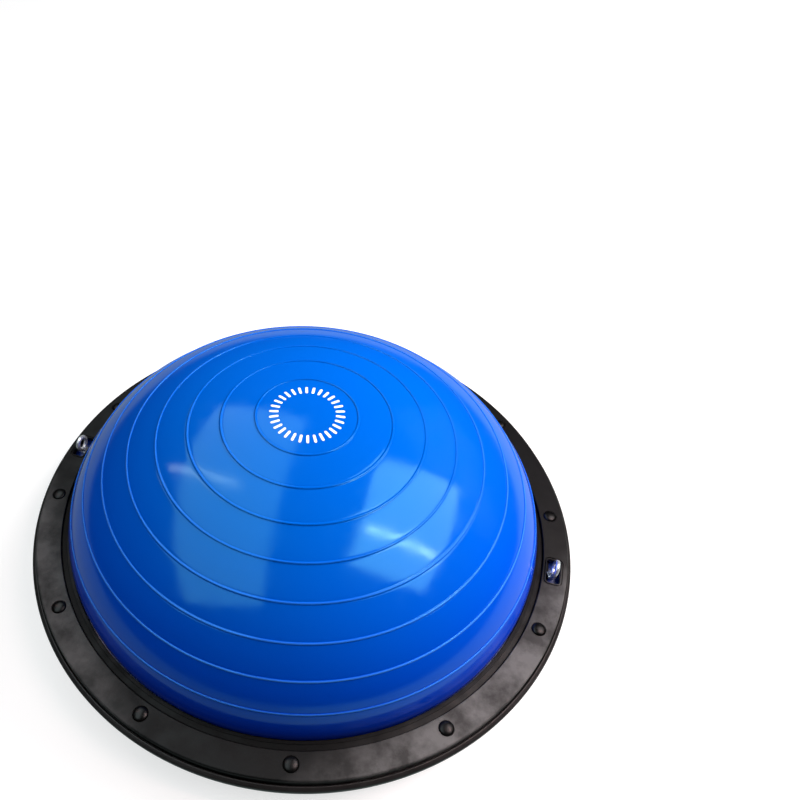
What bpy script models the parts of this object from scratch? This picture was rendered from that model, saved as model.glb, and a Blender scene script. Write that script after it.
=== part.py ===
"""Balance dome trainer: an air-filled half ball held in a round two-part base.

Metres, +Z up, origin on the floor under the middle. The two band eyes lie on X.
Run with: blender --background --python part.py
"""

from math import cos, hypot, pi, sin

import bmesh
import bpy
from mathutils import Matrix, Vector

MM = 0.001
RING_STEPS = 48  # facets round the large rings
GAP = 0.3 * MM  # clearance between pieces that touch

# Driving dimensions.
LIP_RADIUS = 300.0 * MM
LIP_HEIGHT = 38.0 * MM  # where the lip is widest
DOME_RADIUS = 257.0 * MM
DOME_FOOT_HEIGHT = 50.0 * MM  # level with the rim's face
DOME_HEIGHT = 148.0 * MM  # above its foot
DOME_POWER = 1.8  # 2 would be an ellipse; less is a little more pointed
SKIN = 2.2 * MM
RIB_COUNT = 8
FIRST_RIB = 48.5 * MM  # arc length from the top of the dome
RIB_PITCH = 33.4 * MM
RIB_WIDTH = 2.2 * MM
RIB_PROUD = 0.8 * MM

FLOOR_LEVEL = 3.0 * MM  # the tray stands this high on its feet
TRAY_PLATE = 6.0 * MM
SEAT_HEIGHT = 37.0 * MM  # where the bladder's flange lies
SEAT_INNER = 257.5 * MM
SEAT_OUTER = 294.4 * MM
SHEET = 1.6 * MM
FLANGE_RADIUS = 287.9 * MM
RIM_FACE = 50.0 * MM
RIM_INNER = 267.3 * MM
RIM_OUTER = 293.3 * MM
SKIRT_INNER = 290.0 * MM  # inside of the rim's outer wall
CLAMP_FOOT = 275.6 * MM

BOSS_COUNT = 12
BOSS_CIRCLE = 278.8 * MM
BOSS_RADIUS = 7.0 * MM
SCREW_RADIUS = 1.9 * MM
HOLE_RADIUS = 2.6 * MM
HEAD_SEAT = 27.3 * MM  # underside of each screw post, where a head pulls
HEAD_RADIUS = 4.3 * MM
POST_RADIUS = 7.2 * MM
GUSSET = 3.0 * MM

EYE_CIRCLE = 278.5 * MM
EYE_CENTRE = 55.5 * MM
EYE_RADIUS = 7.75 * MM
EYE_WIRE = 2.4 * MM
EYE_SHANK = 2.5 * MM
EYE_SEAT = 29.0 * MM
EYE_PAD = 18.0 * MM
SHANK_END = 21.0 * MM
WINDOW_INNER = 271.0 * MM
WINDOW_OUTER = 286.0 * MM
WINDOW_LENGTH = 29.0 * MM
WINDOW_CORNER = 3.5 * MM

VALVE_HOLE = 9.2 * MM
VALVE_BORE = 3.2 * MM
TRAY_HOLE = 14.0 * MM
FOOT_COUNT = 8
FOOT_CIRCLE = 232.0 * MM
FOOT_RADIUS = 12.0 * MM
FOOT_SEAT = 4.5 * MM

# Levels worked out from those.
PLATE_TOP = FLOOR_LEVEL + TRAY_PLATE
SHEET_BOTTOM = PLATE_TOP + GAP
SHEET_TOP = SHEET_BOTTOM + SHEET
LOWER_FLANGE = SEAT_HEIGHT + GAP
LOWER_FLANGE_TOP = LOWER_FLANGE + SHEET
UPPER_FLANGE = LOWER_FLANGE_TOP + GAP
UPPER_FLANGE_TOP = UPPER_FLANGE + SHEET
CLAMP_BOTTOM = UPPER_FLANGE_TOP + GAP
CLAMP_FOOT_TOP = CLAMP_BOTTOM + 1.5 * MM
RIM_BOTTOM = CLAMP_FOOT_TOP + GAP


def clear_scene():
    for obj in list(bpy.data.objects):
        bpy.data.objects.remove(obj, do_unlink=True)


def new_collection(name):
    collection = bpy.data.collections.new(name)
    bpy.context.scene.collection.children.link(collection)
    return collection


def new_material(name, colour, roughness, metallic=0.0):
    material = bpy.data.materials.new(name)
    material.use_nodes = True
    shader = material.node_tree.nodes["Principled BSDF"]
    shader.inputs["Base Color"].default_value = (*colour, 1.0)
    shader.inputs["Roughness"].default_value = roughness
    shader.inputs["Metallic"].default_value = metallic
    return material


clear_scene()
parts = new_collection("balance_dome_trainer")
helpers = new_collection("cutters")

base_black = new_material("base_plastic", (0.016, 0.016, 0.018), 0.5)
clamp_black = new_material("clamp_plastic", (0.012, 0.012, 0.013), 0.55)
dome_blue = new_material("dome_pvc", (0.0, 0.09, 0.72), 0.22)
sheet_blue = new_material("sheet_pvc", (0.0, 0.05, 0.42), 0.35)
steel = new_material("steel", (0.55, 0.55, 0.56), 0.35, 1.0)
chrome = new_material("chrome", (0.8, 0.8, 0.82), 0.12, 1.0)
rubber = new_material("foot_rubber", (0.03, 0.03, 0.03), 0.8)
valve_white = new_material("valve_plastic", (0.75, 0.75, 0.73), 0.4)


def around(count, radius, start=0.0):
    """Places on a circle, each with the turn that brings +X to it."""
    turns = [start + 2 * pi * index / count for index in range(count)]
    return [Matrix.Rotation(turn, 4, "Z") @ Matrix.Translation((radius, 0, 0)) for turn in turns]


BOSS_PLACES = around(BOSS_COUNT, BOSS_CIRCLE, pi / BOSS_COUNT)
EYE_PLACES = around(2, EYE_CIRCLE, pi)  # left, then right
FOOT_PLACES = around(FOOT_COUNT, FOOT_CIRCLE, pi / FOOT_COUNT)


def add_object(name, mesh, material=None):
    """A part when it has a material, and a hidden helper when it has none."""
    obj = bpy.data.objects.new(name, mesh)
    if material:
        mesh.materials.append(material)
        parts.objects.link(obj)
    else:
        helpers.objects.link(obj)
        obj.hide_render = True
        obj.display_type = "WIRE"
    return obj


def turned(name, profile, material=None, steps=RING_STEPS):
    """A solid of revolution. The profile of (radius, height) runs down its outer side.

    A profile that starts and ends on the axis stays open; any other is closed.
    """
    mesh = bpy.data.meshes.new(name)
    count = len(profile)
    edges = [(index, index + 1) for index in range(count - 1)]
    if profile[0][0] > 0:
        edges.append((count - 1, 0))
    mesh.from_pydata([(radius, 0, height) for radius, height in profile], edges, [])
    obj = add_object(name, mesh, material)
    screw = obj.modifiers.new("turn", "SCREW")
    screw.steps = steps
    screw.render_steps = steps
    screw.use_merge_vertices = True
    screw.merge_threshold = 0.01 * MM
    screw.use_smooth_shade = False
    return obj


def evaluated_mesh(obj):
    graph = bpy.context.evaluated_depsgraph_get()
    graph.update()
    return bpy.data.meshes.new_from_object(obj.evaluated_get(graph), depsgraph=graph)


def repeated(name, source, places, steps):
    """One helper mesh with a copy of the turned source at each place. The source is used up.

    Each copy is turned by half a facet, so that no corner of it falls on a large ring's edge.
    """
    mesh = evaluated_mesh(source)
    mesh.transform(Matrix.Rotation(pi / steps, 4, "Z"))
    bpy.data.objects.remove(source, do_unlink=True)
    joined = bmesh.new()
    for place in places:
        copy = mesh.copy()
        copy.transform(place)
        joined.from_mesh(copy)
        bpy.data.meshes.remove(copy)
    result = bpy.data.meshes.new(name)
    joined.to_mesh(result)
    joined.free()
    return add_object(name, result)


def boolean(target, helper, operation):
    modifier = target.modifiers.new(helper.name, "BOOLEAN")
    modifier.operation = operation
    modifier.solver = "EXACT"
    modifier.object = helper


def cut_all(target, cutters):
    """One cut with several helpers that lie clear of each other."""
    group = bpy.data.collections.new(target.name + "_cutters")
    helpers.children.link(group)
    for cutter in cutters:
        helpers.objects.unlink(cutter)
        group.objects.link(cutter)
    modifier = target.modifiers.new("cuts", "BOOLEAN")
    modifier.operation = "DIFFERENCE"
    modifier.solver = "EXACT"
    modifier.operand_type = "COLLECTION"
    modifier.collection = group


def round_parts_smoothly(obj, degrees=30):
    mesh = evaluated_mesh(obj)
    obj.modifiers.clear()
    obj.data = mesh
    mesh.shade_smooth()
    mesh.set_sharp_from_angle(angle=degrees * pi / 180)


# Dome -----------------------------------------------------------------------------


def dome_point(radius, inset=0.0):
    """A point of the dome's curve, or of the one an inset inside it."""
    share = min(radius / (DOME_RADIUS - inset), 1.0)
    rise = (DOME_HEIGHT - inset) * (1 - share * share) ** (1 / DOME_POWER)
    return Vector((radius, DOME_FOOT_HEIGHT + rise))


def dome_curve(samples=4000):
    """Points of the dome's curve from its top to its foot, close together."""
    turns = [pi / 2 * index / samples for index in range(samples + 1)]
    return [dome_point(DOME_RADIUS * sin(turn)) for turn in turns]


def point_at(curve, length):
    """The point that far along the curve, and the direction outwards there."""
    walked = 0.0
    for start, end in zip(curve, curve[1:]):
        step = (end - start).length
        if walked + step >= length:
            along = (end - start) / step
            return start + along * (length - walked), Vector((-along.y, along.x))
        walked += step
    return curve[-1], Vector((1, 0))


def dome_outline():
    """The dome's outer side from its top to its foot, with the ribs standing out of it."""
    curve = dome_curve()
    outline = [curve[0], point_at(curve, FIRST_RIB / 2)[0]]
    for index in range(RIB_COUNT):
        middle = FIRST_RIB + index * RIB_PITCH
        crest, outwards = point_at(curve, middle)
        outline.append(point_at(curve, middle - RIB_WIDTH / 2)[0])
        outline.append(crest + outwards * RIB_PROUD)
        outline.append(point_at(curve, middle + RIB_WIDTH / 2)[0])
        outline.append(point_at(curve, middle + RIB_PITCH / 2)[0])
    return [(point.x, point.y) for point in outline]


def make_dome():
    """The part of the skin that moves: it ends where the clamp ring grips it."""
    inner_radius = DOME_RADIUS - SKIN
    inner_turns = [pi / 2 * index / 10 for index in range(10, -1, -1)]
    inside = [tuple(dome_point(inner_radius * sin(turn), SKIN)) for turn in inner_turns]
    foot = [
        (DOME_RADIUS, DOME_FOOT_HEIGHT),
        (DOME_RADIUS, CLAMP_BOTTOM),
        (inner_radius, CLAMP_BOTTOM),
    ]
    turned("dome_skin", dome_outline() + foot + inside, dome_blue)


def make_dome_flange():
    """The skin's welded flange, held between the tray's seat and the clamp ring."""
    inner = DOME_RADIUS - SKIN
    profile = [
        (inner, UPPER_FLANGE_TOP),
        (FLANGE_RADIUS, UPPER_FLANGE_TOP),
        (FLANGE_RADIUS, UPPER_FLANGE),
        (inner, UPPER_FLANGE),
    ]
    flange = turned("dome_flange", profile, dome_blue)
    boolean(flange, flange_holes("dome_flange_holes"), "DIFFERENCE")


def flange_holes(name):
    """The holes for the rim screws and the eye bolts, through both flanges."""
    below = SEAT_HEIGHT - 1 * MM
    above = CLAMP_BOTTOM + 1 * MM
    half_facet = Matrix.Rotation(pi / 8, 4, "Z")
    holes = bmesh.new()
    for places, radius in ((BOSS_PLACES, HOLE_RADIUS), (EYE_PLACES, EYE_SHANK + GAP)):
        for place in places:
            bmesh.ops.create_cone(
                holes,
                cap_ends=True,
                segments=8,
                radius1=radius,
                radius2=radius,
                depth=above - below,
                matrix=place @ Matrix.Translation((0, 0, (above + below) / 2)) @ half_facet,
            )
    mesh = bpy.data.meshes.new(name)
    holes.to_mesh(mesh)
    holes.free()
    return add_object(name, mesh)


def make_bladder_floor():
    """The flat sheet that closes the air chamber, and its own wall and flange."""
    outer = SEAT_INNER - 2 * GAP
    profile = [
        (VALVE_HOLE, SHEET_TOP),
        (outer - SHEET, SHEET_TOP),
        (outer - SHEET, LOWER_FLANGE_TOP),
        (FLANGE_RADIUS, LOWER_FLANGE_TOP),
        (FLANGE_RADIUS, LOWER_FLANGE),
        (outer, LOWER_FLANGE),
        (outer, SHEET_BOTTOM),
        (VALVE_HOLE, SHEET_BOTTOM),
    ]
    sheet = turned("bladder_floor", profile, sheet_blue)
    boolean(sheet, flange_holes("sheet_flange_holes"), "DIFFERENCE")


def make_valve():
    """A collar that clips into the sheet's hole from both sides, and a plug pushed in from below."""
    neck = VALVE_HOLE - GAP
    upper_radius = 16.0 * MM
    upper_top = SHEET_TOP + 2.1 * MM
    lower_radius = 12.5 * MM
    lower_bottom = 6.8 * MM
    collar = [
        (VALVE_BORE, upper_top),
        (upper_radius - 0.8 * MM, upper_top),
        (upper_radius, SHEET_TOP + GAP),
        (neck, SHEET_TOP + GAP),
        (neck, SHEET_BOTTOM - GAP),
        (lower_radius, SHEET_BOTTOM - GAP),
        (lower_radius, lower_bottom),
        (VALVE_BORE, lower_bottom),
    ]
    turned("valve_seat", collar, valve_white, steps=20)
    stem = VALVE_BORE - GAP
    stem_top = 14.8 * MM
    head = 8.0 * MM
    head_top = lower_bottom - GAP
    head_bottom = 4.0 * MM
    plug = [
        (0, stem_top),
        (stem - 0.5 * MM, stem_top - 0.4 * MM),
        (stem, stem_top - 2.8 * MM),
        (stem, head_top),
        (head, head_top),
        (head, head_bottom + 1.0 * MM),
        (head - 1.0 * MM, head_bottom),
        (0, head_bottom),
    ]
    turned("valve_plug", plug, valve_white, steps=20)


# Base -----------------------------------------------------------------------------


def tray_channel():
    """The hollow under the flange, between the tray's wall and its cone.

    What stays standing in it are the screw posts, the gussets and the two eye pads.
    """
    above = SEAT_HEIGHT + 2 * MM
    inner = SEAT_INNER + 4.0 * MM  # leaves the tray's inner wall 4 mm thick
    outer = 287.5 * MM
    below = 14.5 * MM
    channel = turned(
        "tray_channel",
        [
            (inner, above),
            (outer, above),
            (outer, SEAT_HEIGHT - 2.0 * MM),
            (outer - 2.0 * MM, SEAT_HEIGHT - 5.5 * MM),
            (inner + 2.0 * MM, below),
            (inner, below),
        ],
    )
    tall = 2 * SEAT_HEIGHT  # every standing piece runs right through the channel
    lift = Matrix.Translation((0, 0, SEAT_HEIGHT * 0.7))
    standing = bmesh.new()
    for place in BOSS_PLACES:
        bmesh.ops.create_cone(
            standing,
            cap_ends=True,
            segments=12,
            radius1=POST_RADIUS,
            radius2=POST_RADIUS,
            depth=tall,
            matrix=place @ lift @ Matrix.Rotation(pi / 12, 4, "Z"),
        )
    across = 40.0 * MM  # longer than the channel is wide
    for index, place in enumerate(around(BOSS_COUNT, (inner + outer) / 2)):
        holds_eye = index % (BOSS_COUNT // 2) == 0
        width = EYE_PAD if holds_eye else GUSSET
        size = Matrix.Diagonal((across, width, tall, 1))
        bmesh.ops.create_cube(standing, size=1.0, matrix=place @ lift @ size)
    mesh = bpy.data.meshes.new("tray_standing")
    standing.to_mesh(mesh)
    standing.free()
    boolean(channel, add_object("tray_standing", mesh), "DIFFERENCE")
    return channel


def stepped_hole(name, places, top, hole, seat, recess, steps):
    """A clearance hole down to a seat, with a wider recess below it for a head or a nut."""
    profile = [(0, top), (hole, top), (hole, seat), (recess, seat), (recess, -1 * MM), (0, -1 * MM)]
    return repeated(name, turned(name + "_one", profile, steps=steps), places, steps)


def make_tray():
    profile = [
        (TRAY_HOLE, PLATE_TOP),
        (SEAT_INNER, PLATE_TOP),
        (SEAT_INNER, SEAT_HEIGHT),
        (SEAT_OUTER, SEAT_HEIGHT),
        (295.0 * MM, 40.0 * MM),
        (296.3 * MM, 42.4 * MM),
        (297.8 * MM, 42.8 * MM),
        (299.4 * MM, 41.0 * MM),
        (LIP_RADIUS, LIP_HEIGHT),
        (299.3 * MM, 34.5 * MM),
        (296.5 * MM, 31.5 * MM),
        (287.0 * MM, 26.0 * MM),
        (257.0 * MM, FLOOR_LEVEL + 1.2 * MM),
        (252.0 * MM, FLOOR_LEVEL),
        (TRAY_HOLE, FLOOR_LEVEL),
    ]
    tray = turned("base_tray", profile, base_black)
    above = SEAT_HEIGHT + 3 * MM
    screws = stepped_hole(
        "screw_recesses", BOSS_PLACES, above, HOLE_RADIUS, HEAD_SEAT, HEAD_RADIUS + 0.9 * MM, steps=10
    )
    eyes = stepped_hole(
        "eye_recesses", EYE_PLACES, above, EYE_SHANK + GAP, EYE_SEAT, 8.0 * MM, steps=16
    )
    pocket = turned(
        "foot_pocket",
        [(0, FOOT_SEAT), (FOOT_RADIUS + GAP, FOOT_SEAT), (FOOT_RADIUS + GAP, 0), (0, 0)],
        steps=20,
    )
    pockets = repeated("foot_pockets", pocket, FOOT_PLACES, 20)
    cut_all(tray, [tray_channel(), screws, eyes, pockets])


def window_cutter():
    """The two rounded openings that the band eyes stand in."""
    length = WINDOW_OUTER - WINDOW_INNER
    middle = (WINDOW_OUTER + WINDOW_INNER) / 2
    windows = bmesh.new()
    for place in around(2, middle):
        size = Matrix.Diagonal((length, WINDOW_LENGTH, 30.0 * MM, 1))
        lift = Matrix.Translation((0, 0, RIM_FACE))
        made = bmesh.ops.create_cube(windows, size=1.0, matrix=place @ lift @ size)
        corners = set(made["verts"])
        upright = [
            edge
            for edge in windows.edges
            if set(edge.verts) <= corners
            and hypot(*(edge.verts[0].co - edge.verts[1].co).xy) < GAP
        ]
        bmesh.ops.bevel(
            windows,
            geom=upright,
            offset=WINDOW_CORNER,
            segments=3,
            profile=0.5,
            affect="EDGES",
        )
    mesh = bpy.data.meshes.new("eye_windows")
    windows.to_mesh(mesh)
    windows.free()
    return add_object("eye_windows", mesh)


def make_rim_cover():
    wall_inner = RIM_INNER + 2.5 * MM
    underside = RIM_FACE - 3.2 * MM
    profile = [
        (RIM_INNER, RIM_FACE - 1.2 * MM),
        (RIM_INNER + 1.0 * MM, RIM_FACE - 0.2 * MM),
        (RIM_INNER + 2.6 * MM, RIM_FACE),
        (RIM_OUTER - 3.0 * MM, RIM_FACE),
        (RIM_OUTER - 0.9 * MM, RIM_FACE - 0.6 * MM),
        (RIM_OUTER, RIM_FACE - 2.0 * MM),
        (RIM_OUTER + 0.7 * MM, SEAT_HEIGHT + GAP),
        (SKIRT_INNER, SEAT_HEIGHT + GAP),
        (SKIRT_INNER, underside),
        (wall_inner, underside),
        (wall_inner, RIM_BOTTOM),
        (RIM_INNER, RIM_BOTTOM),
    ]
    cover = turned("rim_cover", profile, base_black)
    boss = turned(
        "boss",
        [
            (0, RIM_FACE + 2.6 * MM),
            (0.55 * BOSS_RADIUS, RIM_FACE + 2.2 * MM),
            (0.87 * BOSS_RADIUS, RIM_FACE + 1.2 * MM),
            (BOSS_RADIUS, RIM_FACE - 0.6 * MM),
            (BOSS_RADIUS, RIM_BOTTOM),
            (0, RIM_BOTTOM),
        ],
        steps=14,
    )
    boolean(cover, repeated("bosses", boss, BOSS_PLACES, 14), "UNION")
    pilot_radius = SCREW_RADIUS + GAP
    pilot = turned(
        "pilot",
        [
            (0, RIM_FACE - 1.0 * MM),
            (pilot_radius, RIM_FACE - 1.0 * MM),
            (pilot_radius, SEAT_HEIGHT),
            (0, SEAT_HEIGHT),
        ],
        steps=8,
    )
    boolean(cover, repeated("pilot_holes", pilot, BOSS_PLACES, 8), "DIFFERENCE")
    boolean(cover, window_cutter(), "DIFFERENCE")


def make_clamp_ring():
    """The ring that holds the dome's foot; its own foot is notched round the two eye nuts."""
    inner = DOME_RADIUS + 1.0 * MM
    outer = RIM_INNER - 0.4 * MM
    profile = [
        (inner, RIM_FACE - 3.4 * MM),
        (inner + 1.4 * MM, RIM_FACE - 2.4 * MM),
        (inner + 3.6 * MM, RIM_FACE - 2.6 * MM),
        (inner + 4.2 * MM, RIM_FACE - 1.6 * MM),
        (inner + 6.5 * MM, RIM_FACE - 0.8 * MM),
        (outer, RIM_FACE - 1.4 * MM),
        (outer, CLAMP_FOOT_TOP),
        (CLAMP_FOOT, CLAMP_FOOT_TOP),
        (CLAMP_FOOT, CLAMP_BOTTOM),
        (inner, CLAMP_BOTTOM),
    ]
    ring = turned("clamp_ring", profile, clamp_black)
    notch_radius = 5.7 * MM
    notch = turned(
        "nut_notch",
        [
            (0, CLAMP_FOOT_TOP + 1 * MM),
            (notch_radius, CLAMP_FOOT_TOP + 1 * MM),
            (notch_radius, CLAMP_BOTTOM - 1 * MM),
            (0, CLAMP_BOTTOM - 1 * MM),
        ],
        steps=14,
    )
    boolean(ring, repeated("nut_notches", notch, EYE_PLACES, 14), "DIFFERENCE")


# Fasteners, eyes and feet -----------------------------------------------------------


def make_rim_screws():
    head_bottom = HEAD_SEAT - 3.3 * MM
    profile = [
        (0, RIM_FACE - 2.5 * MM),
        (SCREW_RADIUS, RIM_FACE - 3.5 * MM),
        (SCREW_RADIUS, HEAD_SEAT - GAP),
        (HEAD_RADIUS, HEAD_SEAT - GAP),
        (HEAD_RADIUS - 0.7 * MM, head_bottom),
        (0, head_bottom),
    ]
    for index, place in enumerate(BOSS_PLACES, start=1):
        screw = turned(f"rim_screw_{index:02d}", profile, steel, steps=10)
        screw.matrix_world = place


def make_eye_bolt(name, place):
    """A closed eye that stands across the rim, with its shank going down through the tray."""
    bpy.ops.mesh.primitive_torus_add(
        major_segments=24,
        minor_segments=10,
        major_radius=EYE_RADIUS,
        minor_radius=EYE_WIRE,
    )
    ring = bpy.context.active_object
    mesh = ring.data.copy()
    bpy.data.objects.remove(ring, do_unlink=True)
    mesh.transform(Matrix.Translation((0, 0, EYE_CENTRE)) @ Matrix.Rotation(pi / 2, 4, "Y"))
    mesh.name = name
    bolt = add_object(name, mesh, chrome)
    top = EYE_CENTRE - EYE_RADIUS
    shank = turned(
        name + "_shank",
        [(0, top), (EYE_SHANK, top), (EYE_SHANK, SHANK_END + 1 * MM), (0, SHANK_END)],
        steps=12,
    )
    shank.matrix_world = place
    bolt.matrix_world = place
    boolean(bolt, shank, "UNION")


def make_nut(name, place, bottom, height, across_flats, material):
    across_corners = across_flats / cos(pi / 6)
    nut = bmesh.new()
    bmesh.ops.create_cone(
        nut,
        cap_ends=True,
        segments=6,
        radius1=across_corners / 2,
        radius2=across_corners / 2,
        depth=height,
        matrix=Matrix.Rotation(pi / 6, 4, "Z"),
    )
    mesh = bpy.data.meshes.new(name)
    nut.to_mesh(mesh)
    nut.free()
    obj = add_object(name, mesh, material)
    bevel = obj.modifiers.new("chamfer", "BEVEL")
    bevel.width = 0.4 * MM
    bevel.segments = 1
    bore = turned(
        name + "_bore",
        [(0, height), (EYE_SHANK + GAP, height), (EYE_SHANK + GAP, -height), (0, -height)],
        steps=12,
    )
    placed = place @ Matrix.Translation((0, 0, bottom + height / 2))
    bore.matrix_world = placed
    obj.matrix_world = placed
    boolean(obj, bore, "DIFFERENCE")


def make_washer(name, place, bottom, height):
    bore = EYE_SHANK + GAP
    radius = 6.5 * MM
    profile = [(bore, height), (radius, height), (radius, 0), (bore, 0)]
    washer = turned(name, profile, steel, steps=20)
    washer.matrix_world = place @ Matrix.Translation((0, 0, bottom))


def make_eyes():
    washer_height = 1.4 * MM
    washer_bottom = EYE_SEAT - GAP - washer_height
    nut_height = 4.6 * MM
    nut_bottom = washer_bottom - GAP - nut_height
    for side, place in zip(("left", "right"), EYE_PLACES):
        make_eye_bolt("eye_bolt_" + side, place)
        make_nut("eye_nut_" + side, place, CLAMP_BOTTOM, 3.8 * MM, 8.8 * MM, chrome)
        make_washer("eye_washer_" + side, place, washer_bottom, washer_height)
        make_nut("eye_lock_nut_" + side, place, nut_bottom, nut_height, 10.0 * MM, steel)


def make_feet():
    profile = [
        (0, FOOT_SEAT - GAP),
        (FOOT_RADIUS, FOOT_SEAT - GAP),
        (FOOT_RADIUS, 1.0 * MM),
        (FOOT_RADIUS - 1.0 * MM, 0),
        (0, 0),
    ]
    for index, place in enumerate(FOOT_PLACES, start=1):
        foot = turned(f"foot_{index:02d}", profile, rubber, steps=20)
        foot.matrix_world = place


make_tray()
make_bladder_floor()
make_valve()
make_dome()
make_dome_flange()
make_clamp_ring()
make_rim_cover()
make_rim_screws()
make_eyes()
make_feet()
bpy.context.view_layer.update()
for part in list(parts.objects):
    round_parts_smoothly(part)
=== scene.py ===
"""Looks of the balance dome trainer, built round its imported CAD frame.

Every piece is turned, swept or lofted here at a finer grain than its CAD node, and stands for it.
Metres, +Z up, the origin on the floor under the middle of the dome.
"""

from math import cos, hypot, pi, radians, sin, tan

import bmesh
import bpy
from mathutils import Matrix, Vector


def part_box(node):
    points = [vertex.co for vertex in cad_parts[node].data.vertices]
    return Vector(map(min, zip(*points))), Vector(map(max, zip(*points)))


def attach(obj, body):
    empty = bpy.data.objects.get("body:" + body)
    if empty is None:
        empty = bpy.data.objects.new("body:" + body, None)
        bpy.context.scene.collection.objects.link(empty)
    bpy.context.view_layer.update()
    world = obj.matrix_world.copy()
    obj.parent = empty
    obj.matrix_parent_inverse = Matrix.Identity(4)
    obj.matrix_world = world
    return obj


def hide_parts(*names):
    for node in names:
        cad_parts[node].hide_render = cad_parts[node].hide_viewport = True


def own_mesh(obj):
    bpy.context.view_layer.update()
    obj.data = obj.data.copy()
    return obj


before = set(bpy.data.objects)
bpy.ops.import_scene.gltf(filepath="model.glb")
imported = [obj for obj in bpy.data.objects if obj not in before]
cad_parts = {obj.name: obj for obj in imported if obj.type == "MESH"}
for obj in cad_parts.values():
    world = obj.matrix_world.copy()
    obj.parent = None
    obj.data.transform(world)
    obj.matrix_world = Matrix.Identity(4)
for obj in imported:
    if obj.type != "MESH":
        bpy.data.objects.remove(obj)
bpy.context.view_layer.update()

MM = 0.001
MERGE = 0.001 * MM  # closer points are one point
FINE_STEPS = 288  # facets round the large rings

# Levels and radii, from the frame where a node's box gives them.
skin_low, skin_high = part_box("dome_skin")
tray_low, tray_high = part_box("base_tray")
DOME_RADIUS = skin_high.x
DOME_TOP = skin_high.z
SKIN_FOOT = skin_low.z
LIP_RADIUS = tray_high.x
FLOOR_LEVEL = tray_low.z
RIM_FACE = 50.0 * MM
DOME_RISE = DOME_TOP - RIM_FACE
DOME_POWER = 1.8  # 2 would be an ellipse; less is a little more pointed
SKIN = 2.2 * MM
SHEET = 1.6 * MM  # thickness of the bladder floor
SCREW_HOLE = 2.6 * MM
BOLT_HOLE = 2.8 * MM
EYE_CIRCLE = 278.5 * MM
EYE_CENTRE = 55.5 * MM
EYE_RADIUS = 7.75 * MM
EYE_WIRE = 2.4 * MM
EYE_SHANK = 2.5 * MM
CLAMP_BOTTOM = 41.1 * MM  # level of the clamp ring's foot


# Mesh building ----------------------------------------------------------------------


def circle(radius, height, steps=FINE_STEPS):
    """One ring of points round Z."""
    turns = [2 * pi * index / steps for index in range(steps)]
    return [(radius * cos(turn), radius * sin(turn), height) for turn in turns]


def rounded_rectangle(half_x, half_y, corner, height, steps=8):
    """One ring of points round a rectangle with round corners."""
    ring = []
    for quarter, (side_x, side_y) in enumerate(((1, 1), (-1, 1), (-1, -1), (1, -1))):
        for index in range(steps + 1):
            turn = (quarter + index / steps) * pi / 2
            x = side_x * (half_x - corner) + corner * cos(turn)
            y = side_y * (half_y - corner) + corner * sin(turn)
            ring.append((x, y, height))
    return ring


def skin_through(rings, closed=False):
    """A closed mesh through rings of points, which end in flat caps unless they close in a loop."""
    shape = bmesh.new()
    rows = [[shape.verts.new(point) for point in ring] for ring in rings]
    pairs = list(zip(rows, rows[1:]))
    if closed:
        pairs.append((rows[-1], rows[0]))
    else:
        shape.faces.new(rows[0])
        shape.faces.new(rows[-1])
    sides = len(rows[0])
    for near, far in pairs:
        for index in range(sides):
            following = (index + 1) % sides
            shape.faces.new((near[index], near[following], far[following], far[index]))
    bmesh.ops.remove_doubles(shape, verts=shape.verts, dist=MERGE)
    bmesh.ops.recalc_face_normals(shape, faces=shape.faces)
    mesh = bpy.data.meshes.new("shape")
    shape.to_mesh(mesh)
    shape.free()
    return mesh


def softened(corners, arc_steps=5):
    """An outline through corners of (x, y, fillet radius), with each fillet as an arc."""
    outline = []
    count = len(corners)
    for index, (x, y, fillet) in enumerate(corners):
        here = Vector((x, y))
        before = (Vector(corners[index - 1][:2]) - here).normalized()
        after = (Vector(corners[(index + 1) % count][:2]) - here).normalized()
        half_angle = before.angle(after) / 2
        if fillet == 0 or half_angle > radians(89):
            outline.append((x, y))
            continue
        reach = fillet / tan(half_angle)
        start = here + before * reach
        end = here + after * reach
        centre = here + (before + after).normalized() * (fillet / sin(half_angle))
        first = start - centre
        sweep = first.angle_signed(end - centre)
        for step in range(arc_steps + 1):
            turned_by = Matrix.Rotation(-sweep * step / arc_steps, 2)
            outline.append(tuple(centre + turned_by @ first))
    return outline


def turned(corners, steps=FINE_STEPS, arc_steps=5):
    """A ring-shaped solid of revolution from a closed outline of corners."""
    outline = softened(corners, arc_steps)
    return skin_through([circle(radius, height, steps) for radius, height in outline], closed=True)


def turned_solid(outline, steps):
    """A solid of revolution from an open outline that starts and ends on the axis."""
    return skin_through([circle(radius, height, steps) for radius, height in outline])


def open_outline(corners, arc_steps=4):
    """A softened outline whose first and last corners stay sharp, because they lie on the axis."""
    return softened([(*corners[0][:2], 0), *corners[1:-1], (*corners[-1][:2], 0)], arc_steps)


def joined(meshes):
    """Several meshes as one."""
    shape = bmesh.new()
    for mesh in meshes:
        shape.from_mesh(mesh)
    result = bpy.data.meshes.new("shape")
    shape.to_mesh(result)
    shape.free()
    return result


def copies(mesh, places):
    """One mesh with a copy at each place."""
    moved = []
    for place in places:
        copy = mesh.copy()
        copy.transform(place)
        moved.append(copy)
    return joined(moved)


def around(count, radius, start=0.0):
    """Places on a circle, each with the turn that brings +X to it."""
    turns = [start + 2 * pi * index / count for index in range(count)]
    return [Matrix.Rotation(turn, 4, "Z") @ Matrix.Translation((radius, 0, 0)) for turn in turns]


BOSS_PLACES = around(12, 278.8 * MM, pi / 12)
EYE_PLACES = around(2, EYE_CIRCLE, pi)  # left, then right
WINDOW_PLACES = around(2, EYE_CIRCLE)
FOOT_PLACES = around(8, 232.0 * MM, pi / 8)


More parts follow.
